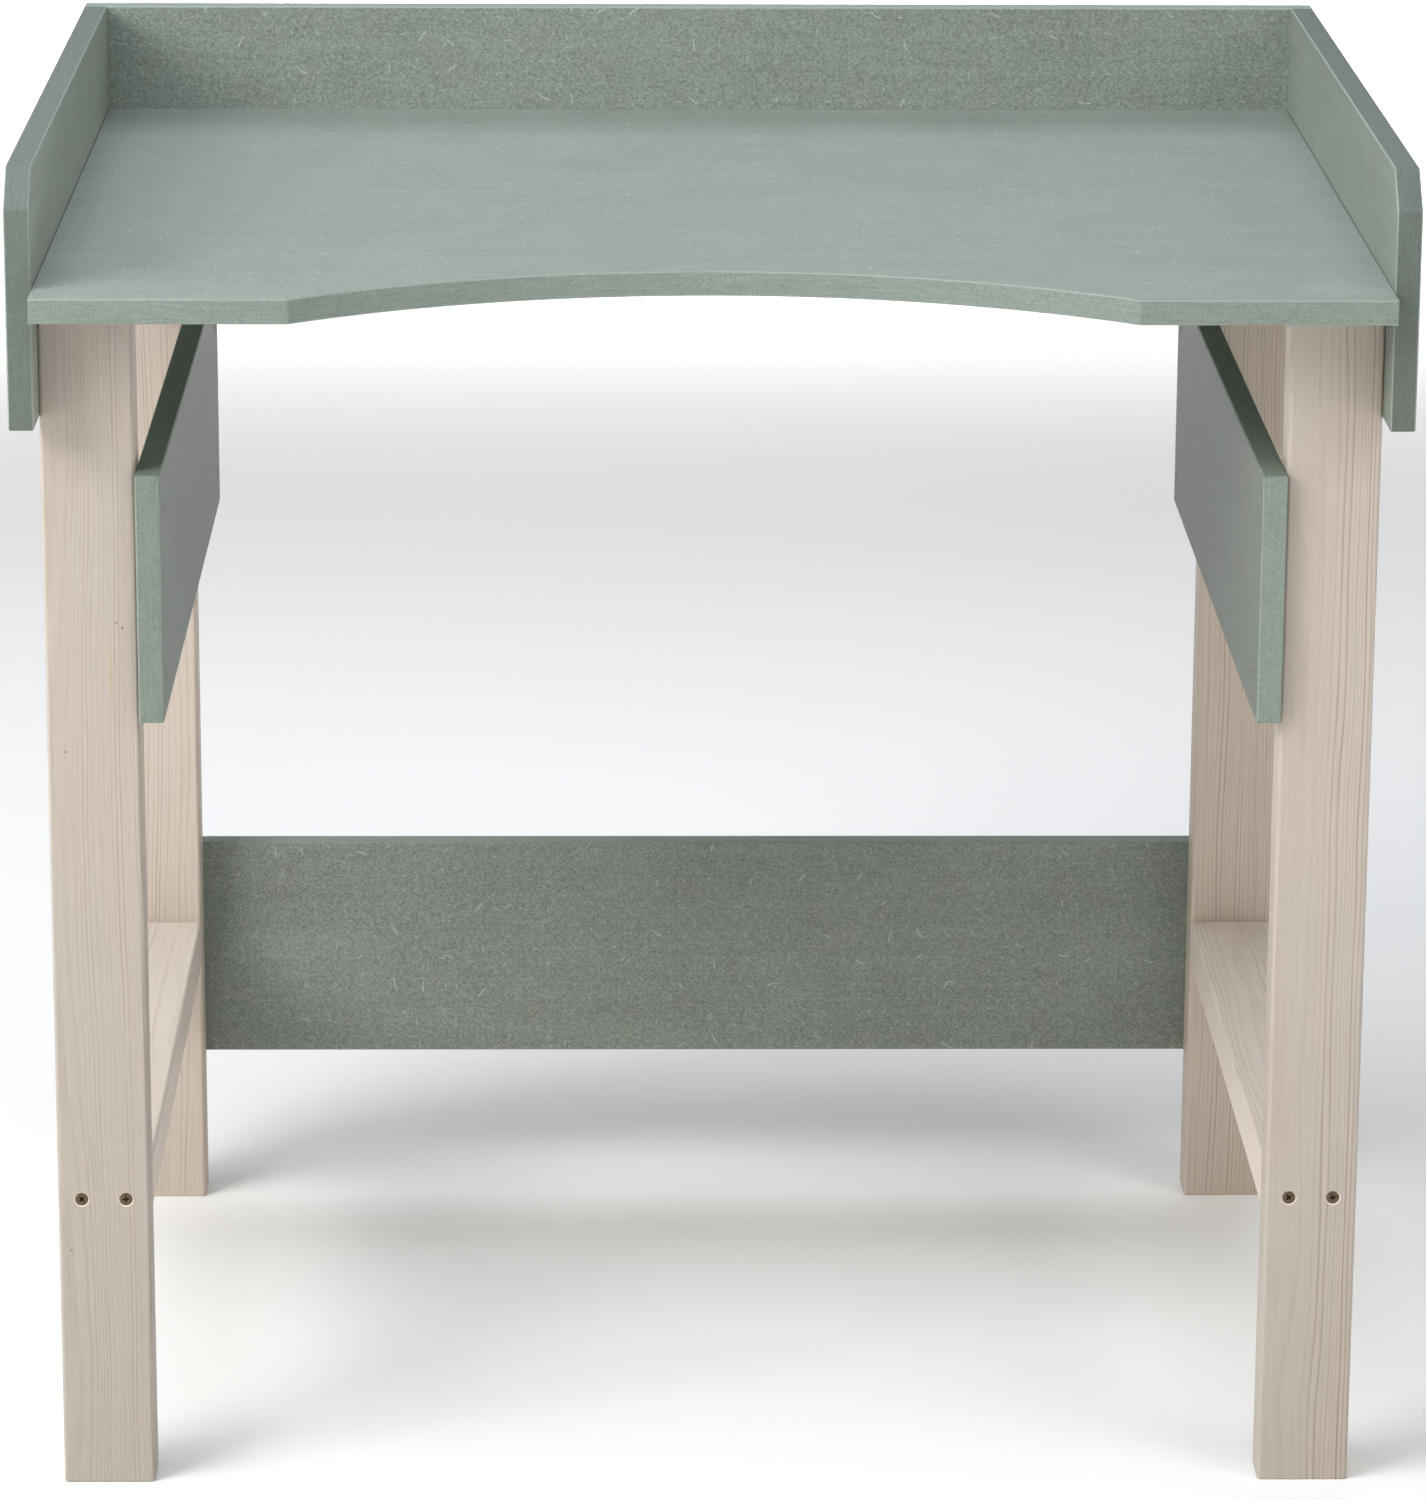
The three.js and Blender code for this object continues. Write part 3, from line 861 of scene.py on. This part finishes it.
def keep_flats_flat(made):
    """Lets the large faces set the shading, so that only the rounded edges look rounded."""
    weigh = made.modifiers.new("flat_faces", "WEIGHTED_NORMAL")
    weigh.keep_sharp = True
    weigh.weight = 100
    weigh.mode = "FACE_AREA"


def axes(x, y, z, centre):
    """The matrix from a piece's own coordinates to the bench's."""
    columns = [Vector(x), Vector(y), Vector(z)]
    turn = Matrix([[columns[c][r] for c in range(3)] for r in range(3)])
    return Matrix.Translation(centre) @ turn.to_4x4()


# Where a piece's own x, y and z point on the bench. A board's z is its thickness, and a post's its length.
UPRIGHT = ((1, 0, 0), (0, 1, 0), (0, 0, 1))
FACING_SIDE = ((0, 1, 0), (0, 0, 1), (1, 0, 0))
FACING_FRONT = ((1, 0, 0), (0, 0, 1), (0, -1, 0))


def place_piece(mesh, name, to_bench):
    mesh.transform(to_bench)
    mesh.name = name
    made = object_of(mesh, f"{name}_finished")
    keep_flats_flat(made)
    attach(made, "root")
    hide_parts(name)
    return made


def drilled(mesh, name, to_bench, places):
    """The mesh with a hole for each screw that enters the piece, and those screws' places."""
    mine = [place for place in places if place.passes(*WOOD_BOXES[name])]
    if mine:
        mesh = cut(mesh, hole_cutter(mine, to_bench.inverted()))
    return mesh, mine


def add_board(name, places, materials, number):
    low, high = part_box(name)
    size = high - low
    centre = (low + high) / 2
    if name == "worktop":
        turn, outline = UPRIGHT, worktop_outline(size.x, size.y)
        thickness = size.z
    elif name in ("back_panel", "rear_stretcher"):
        turn, outline = FACING_FRONT, rectangle(size.x, size.z)
        thickness = size.y
    else:
        shape = side_panel_outline if name.endswith("side_panel") else rectangle
        turn, outline = FACING_SIDE, shape(size.y, size.z)
        thickness = size.x
    limits = (size.x / 2, size.y / 2)

    def weight(edge):
        """The worktop's edges against the panels stay crisp, and the others are sanded round."""
        x, y, _ = (edge.verts[0].co + edge.verts[1].co) / 2
        joined = abs(x) > limits[0] - BOX_TOLERANCE or y > limits[1] - BOX_TOLERANCE
        return CRISP if name == "worktop" and joined else 1.0

    to_bench = axes(*turn, centre)
    mesh = soften(prism(outline, thickness), BOARD_ROUND, BOARD_ROUND_STEPS, weight)
    mesh, _ = drilled(mesh, name, to_bench, places)
    store_local(mesh, Vector((BOARD_SPACING * number, BOARD_SPACING * number, 0.0)))
    store_tone(mesh, BOARD_TONES_WITH_PAINTED_LIGHT[name])
    mesh.materials.clear()
    mesh.materials.append(materials["mdf"])
    shade(mesh, WOOD_SMOOTH_DEGREES)
    place_piece(mesh, name, to_bench)


def mark_bare_wood(mesh, mine, to_bench):
    """The second material goes on the faces inside the countersinks."""
    inverse = to_bench.inverted()
    for place in mine:
        centre = inverse @ place.head
        way = (inverse.to_3x3() @ place.outward).normalized()
        for face in mesh.polygons:
            off = face.center - centre
            out = off.dot(way)
            across = (off - way * out).length
            if across < HOLE_MOUTH and out < place.sink - FACE_TOLERANCE:
                face.material_index = 1


def add_post(name, places, materials, number, pith):
    low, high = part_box(name)
    size = high - low
    centre = (low + high) / 2
    standing = name.endswith("_leg")
    length = size.z if standing else size.y
    width, depth = (size.x, size.y) if standing else (size.x, size.z)
    turn = UPRIGHT if standing else FACING_FRONT
    post = prism(rounded_rectangle(width, depth, POST_ROUND, POST_ROUND_STEPS), length)
    to_bench = axes(*turn, centre)
    mesh = soften(post, POST_END_ROUND, POST_END_STEPS, lambda edge: 1.0)
    mesh, mine = drilled(mesh, name, to_bench, places)
    store_local(mesh, Vector((-pith[0], -pith[1], POST_SPACING * number)))
    store_tone(mesh, POST_TONES_WITH_PAINTED_LIGHT[name])
    mesh.materials.clear()
    mesh.materials.append(materials["pine"])
    mesh.materials.append(materials["bare"])
    mark_bare_wood(mesh, mine, to_bench)
    shade(mesh, WOOD_SMOOTH_DEGREES)
    place_piece(mesh, name, to_bench)


def add_screws(places, material):
    draw = random.Random(RECESS_TURN_SEED)
    meshes = {}
    for place in places:
        length = round(place.length, 4)
        if length not in meshes:
            meshes[length] = screw_mesh(length, material)
        turn = math.radians(RECESS_TURNS.get(place.name, draw.uniform(0, 90)))
        made = object_of(meshes[length], f"{place.name}_finished")
        made.matrix_world = place.matrix(turn)
        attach(made, "root")
        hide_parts(place.name)


# ---------------------------------------------------------------- stage


FLOOR_SIZE = 30.0


def add_floor():
    bm = bmesh.new()
    bm.faces.new([bm.verts.new((x, y, 0.0)) for x, y in rectangle(FLOOR_SIZE, FLOOR_SIZE)])
    floor = object_of(mesh_of(bm, "floor"), "floor")
    floor.data.materials.append(floor_paint())


def add_light(name, place, target, width, height, power, colour=(1.0, 1.0, 1.0)):
    lamp = bpy.data.lights.new(name, "AREA")
    lamp.shape = "RECTANGLE"
    lamp.size = width
    lamp.size_y = height
    lamp.energy = power
    lamp.color = colour
    made = bpy.data.objects.new(name, lamp)
    bpy.context.scene.collection.objects.link(made)
    made.location = place
    made.rotation_euler = (Vector(target) - Vector(place)).to_track_quat("-Z", "Y").to_euler()
    made.visible_camera = False
    return made


# Each light's name, place, target, width, height, watts and colour.
LIGHTS = [
    ("top_softbox", (-0.4, -0.9, 3.5), (0.0, -0.1, 0.9), 3.0, 2.4, 65.0, (0.90, 1.0, 1.12)),
    ("rear_softbox", (0.0, 2.4, 3.2), (0.0, 0.1, 0.9), 3.0, 1.6, 36.0, (0.93, 1.0, 1.09)),
    ("left_key", (-2.8, -2.2, 2.8), (0.0, 0.0, 0.8), 1.8, 1.8, 98.0, (1.01, 1.0, 0.985)),
    ("left_side", (-3.2, -0.8, 2.2), (0.0, 0.0, 0.8), 1.6, 1.6, 38.0, (1.0, 1.0, 1.0)),
    ("right_fill", (2.8, -2.2, 2.8), (0.0, 0.0, 0.8), 1.8, 1.8, 32.0, (1.03, 1.0, 0.965)),
    ("front_fill", (0.0, -5.5, 1.7), (0.0, 0.0, 0.5), 3.0, 2.0, 4.0, (1.0, 1.0, 1.0)),
]
# Lights for the floor all round, far out. They shine straight down, so that they miss the bench.
FLOOR_LIGHT_COUNT = 6
FLOOR_LIGHT_AWAY = 7.2
FLOOR_LIGHT_HEIGHT = 3.0
FLOOR_LIGHT_SIZE = (8.0, 6.4)
FLOOR_LIGHT_WATTS = 400.0
FLOOR_LIGHT_SPREAD = math.radians(60)
WORLD_COLOUR = (1.0, 0.975, 0.95, 1.0)
WORLD_STRENGTH = 0.25


def add_lights():
    for light in LIGHTS:
        add_light(*light)
    for number in range(FLOOR_LIGHT_COUNT):
        angle = math.pi / 2 + 2 * math.pi * number / FLOOR_LIGHT_COUNT
        x, y = FLOOR_LIGHT_AWAY * math.cos(angle), FLOOR_LIGHT_AWAY * math.sin(angle)
        place = (x, y, FLOOR_LIGHT_HEIGHT)
        below = (x, y, 0.0)
        lamp = add_light(f"floor_wash_{number}", place, below, *FLOOR_LIGHT_SIZE, FLOOR_LIGHT_WATTS)
        lamp.data.spread = FLOOR_LIGHT_SPREAD
    world = bpy.data.worlds.new("studio")
    world.use_nodes = True
    background = world.node_tree.nodes["Background"]
    background.inputs["Color"].default_value = WORLD_COLOUR
    background.inputs["Strength"].default_value = WORLD_STRENGTH
    bpy.context.scene.world = world


def add_camera():
    data = bpy.data.cameras.new("camera")
    data.lens = CAMERA_LENS
    data.sensor_width = CAMERA_SENSOR
    data.shift_x, data.shift_y = CAMERA_SHIFT
    data.clip_end = CAMERA_REACH
    camera = bpy.data.objects.new("camera", data)
    bpy.context.scene.collection.objects.link(camera)
    heading = Matrix.Rotation(math.radians(-CAMERA_YAW), 4, "Z")
    tilt = Matrix.Rotation(math.radians(90 + CAMERA_PITCH), 4, "X")
    roll = Matrix.Rotation(math.radians(CAMERA_ROLL), 4, "Z")
    camera.matrix_world = Matrix.Translation(CAMERA_PLACE) @ heading @ tilt @ roll
    bpy.context.scene.camera = camera


# ---------------------------------------------------------------- the scene

# Where the middle of the tree was from the middle of each post, in millimetres across it.
PITHS = {
    "front_left_leg": (-30.0, 26.0),
    "front_right_leg": (-24.0, 40.0),
    "rear_left_leg": (46.0, 52.0),
    "rear_right_leg": (-52.0, 34.0),
    "left_lower_rail": (34.0, -46.0),
    "right_lower_rail": (-6.0, -24.0),
}

# How light each board's faces and edges are, against the material's own colour, and how speckled its faces.
# The lightness holds painted light and shade as well as the board's own tone: the aprons' faces are
# darkened as painted shade from the worktop above them, and the others are made lighter or darker for how
# much light reaches them.
BOARD_TONES_WITH_PAINTED_LIGHT = {
    "worktop": (0.97, 0.87, 1.2),
    "back_panel": (1.06, 1.0, 2.1),
    "left_side_panel": (1.44, 0.53, 0.8),
    "right_side_panel": (1.0, 0.50, 0.8),
    "left_apron": (0.60, 0.82, 0.9),
    "right_apron": (0.53, 0.96, 0.9),
    "rear_stretcher": (0.97, 1.2, 2.3),
}
# How light each post is, against the material's own colour, how warm, and how strong its rings are.
# The lightness holds painted light and shade as well as the post's own tone.
POST_TONES_WITH_PAINTED_LIGHT = {
    "front_left_leg": (0.77, 0.1, 0.75),
    "front_right_leg": (0.84, 0.3, 1.4),
    "rear_left_leg": (1.0, 0.6, 1.4),
    "rear_right_leg": (0.93, 1.0, 1.3),
    "left_lower_rail": (1.16, 0.0, 0.9),
    "right_lower_rail": (1.21, 0.0, 0.9),
}

add_camera()
add_floor()
add_lights()
bpy.context.scene.view_settings.view_transform = "Standard"

finishes = {"mdf": fibreboard(), "pine": pine(), "bare": bare_pine(), "screw": screw_metal()}
screw_places = [ScrewPlace(name) for name in SCREWS]
for order, board in enumerate(BOARDS):
    add_board(board, screw_places, finishes, order)
for order, post in enumerate(POSTS):
    add_post(post, screw_places, finishes, order, PITHS[post])
add_screws(screw_places, finishes["screw"])
